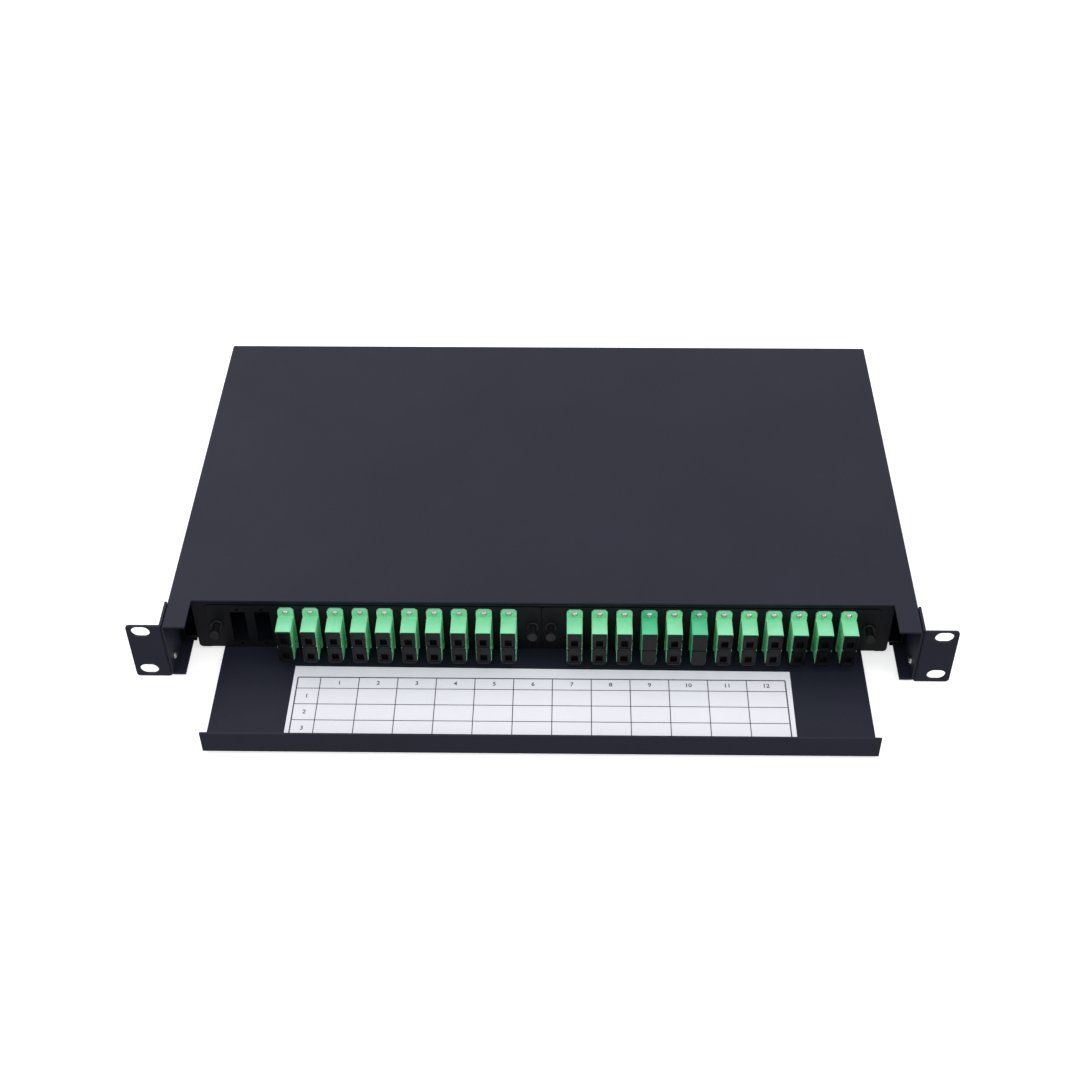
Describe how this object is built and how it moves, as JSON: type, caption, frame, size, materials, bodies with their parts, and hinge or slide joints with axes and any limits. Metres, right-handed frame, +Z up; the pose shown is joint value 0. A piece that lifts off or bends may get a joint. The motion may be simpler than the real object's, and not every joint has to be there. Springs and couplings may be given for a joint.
{
  "type": "fiber termination box",
  "caption": "Rack-mounted fibre termination drawer: steel housing with ears, sliding drawer, adapter plates, duplex adapters with dust caps, label shelf and splice tray.",
  "frame": {"origin": "centre of the four rack slots, in the front plane of the mounting ears", "axes": "+X right as seen from the front, +Y towards the back of the rack, +Z up"},
  "size_m": [0.4826, 0.3324, 0.0424],
  "materials": {
    "powder_coat": "fine-textured black powder coat on folded steel",
    "black_steel": "smooth satin black coated rolled steel",
    "zinc_steel": "zinc-plated rolled steel",
    "bright_screw": "nickel-plated screws with a cross recess",
    "green_plastic": "semi-gloss moulded light green plastic",
    "teal_plastic": "semi-gloss moulded darker green plastic",
    "black_cap": "satin black moulded plastic",
    "black_nylon": "satin black nylon",
    "rubber": "soft matte black rubber",
    "paper": "white card with a printed grid and plain numbers",
    "tray_plastic": "off-white moulded plastic",
    "spool_plastic": "black moulded plastic",
    "clear_plastic": "clear moulded plastic"
  },
  "bodies": {
    "housing": {"housing_shell": "powder_coat", "rear_panel": "powder_coat", "rear_panel_screws": "bright_screw", "cable_grommet_left": "rubber", "cable_grommet_right": "rubber", "ear_left": "powder_coat", "ear_right": "powder_coat", "ear_screws": "bright_screw", "slide_outer_left": "black_steel", "slide_outer_right": "black_steel", "slide_screws": "bright_screw"},
    "left_middle_slide": {"slide_middle_left": "black_steel"},
    "right_middle_slide": {"slide_middle_right": "black_steel"},
    "drawer": {"drawer_pan": "powder_coat", "front_frame": "powder_coat", "label_card": "paper", "slide_inner_left": "black_steel", "slide_inner_right": "black_steel", "drawer_screws": "bright_screw", "splice_tray": "tray_plastic", "splice_holders": "tray_plastic", "fibre_spools": "spool_plastic", "cable_anchors": "zinc_steel"},
    "splice_lid": {"splice_tray_lid": "clear_plastic"},
    "left_plate": {"adapter_plate_left": "powder_coat", "adapter_01": "green_plastic", "adapter_02": "green_plastic", "adapter_03": "green_plastic", "adapter_04": "green_plastic", "adapter_05": "green_plastic", "adapter_06": "green_plastic", "adapter_07": "green_plastic", "adapter_08": "green_plastic", "adapter_09": "green_plastic", "adapter_10": "green_plastic", "adapter_screws_left": "bright_screw", "rear_caps_left": "black_cap", "latch_sleeves_left": "black_nylon"},
    "right_plate": {"adapter_plate_right": "powder_coat", "adapter_11": "green_plastic", "adapter_12": "green_plastic", "adapter_13": "green_plastic", "adapter_14": "teal_plastic", "adapter_15": "green_plastic", "adapter_16": "teal_plastic", "adapter_17": "green_plastic", "adapter_18": "green_plastic", "adapter_19": "green_plastic", "adapter_20": "green_plastic", "adapter_21": "green_plastic", "adapter_22": "green_plastic", "adapter_screws_right": "bright_screw", "rear_caps_right": "black_cap", "latch_sleeves_right": "black_nylon"},
    "left_inner_plunger": {"latch_plunger_left_inner": "black_nylon"},
    "left_outer_plunger": {"latch_plunger_left_outer": "black_nylon"},
    "right_inner_plunger": {"latch_plunger_right_inner": "black_nylon"},
    "right_outer_plunger": {"latch_plunger_right_outer": "black_nylon"},
    "left_caps": {"dust_caps_left": "black_cap"},
    "right_caps": {"dust_caps_right": "black_cap"}
  },
  "joints": [
    {"name": "drawer_slide", "type": "slide", "parent": "housing", "child": "drawer", "axis": [0, -1, 0], "range_m": [0, 0.22]},
    {"name": "left_middle_slide_travel", "type": "slide", "parent": "housing", "child": "left_middle_slide", "axis": [0, -1, 0], "range_m": [0, 0.11]},
    {"name": "right_middle_slide_travel", "type": "slide", "parent": "housing", "child": "right_middle_slide", "axis": [0, -1, 0], "range_m": [0, 0.11]},
    {"name": "splice_lid_lift", "type": "slide", "parent": "drawer", "child": "splice_lid", "axis": [0, 0, 1], "range_m": [0, 0.012]},
    {"name": "left_plate_pull", "type": "slide", "parent": "drawer", "child": "left_plate", "axis": [0, -1, 0], "range_m": [0, 0.03]},
    {"name": "right_plate_pull", "type": "slide", "parent": "drawer", "child": "right_plate", "axis": [0, -1, 0], "range_m": [0, 0.03]},
    {"name": "left_inner_latch", "type": "slide", "parent": "left_plate", "child": "left_inner_plunger", "axis": [0, -1, 0], "range_m": [0, 0.005]},
    {"name": "left_outer_latch", "type": "slide", "parent": "left_plate", "child": "left_outer_plunger", "axis": [0, -1, 0], "range_m": [0, 0.005]},
    {"name": "right_inner_latch", "type": "slide", "parent": "right_plate", "child": "right_inner_plunger", "axis": [0, -1, 0], "range_m": [0, 0.005]},
    {"name": "right_outer_latch", "type": "slide", "parent": "right_plate", "child": "right_outer_plunger", "axis": [0, -1, 0], "range_m": [0, 0.005]},
    {"name": "left_caps_pull", "type": "slide", "parent": "left_plate", "child": "left_caps", "axis": [0, -1, 0], "range_m": [0, 0.014]},
    {"name": "right_caps_pull", "type": "slide", "parent": "right_plate", "child": "right_caps", "axis": [0, -1, 0], "range_m": [0, 0.014]}
  ],
  "couplings": [
    {"joint": "left_middle_slide_travel", "follows": "drawer_slide", "ratio": 0.5},
    {"joint": "right_middle_slide_travel", "follows": "drawer_slide", "ratio": 0.5}
  ]
}
